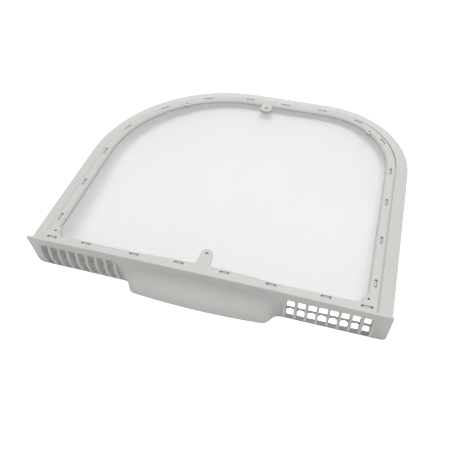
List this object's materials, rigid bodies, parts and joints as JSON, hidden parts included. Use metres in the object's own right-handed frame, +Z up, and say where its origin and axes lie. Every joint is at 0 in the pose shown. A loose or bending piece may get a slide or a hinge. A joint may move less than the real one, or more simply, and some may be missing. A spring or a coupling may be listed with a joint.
{
  "type": "tumble dryer lint filter",
  "caption": "D-shaped lint filter for a tumble dryer: a moulded frame with a vented front plate and pull grip, a clamping ring held by hooks and a woven screen.",
  "frame": {"origin": "middle of the box on the table, as the filter lies at rest on its plate's foot and its round end", "axes": "+X along the front plate to the right seen from the grip, +Y from the plate to the round end, +Z up"},
  "size_m": [0.4, 0.364, 0.0507],
  "materials": {
    "frame_plastic": "satin moulded",
    "ring_plastic": "satin moulded",
    "screen_weave": "fine woven screen"
  },
  "bodies": {
    "root": {"main_frame": "frame_plastic", "clamp_ring": "ring_plastic", "lint_screen": "screen_weave"}
  },
  "joints": []
}
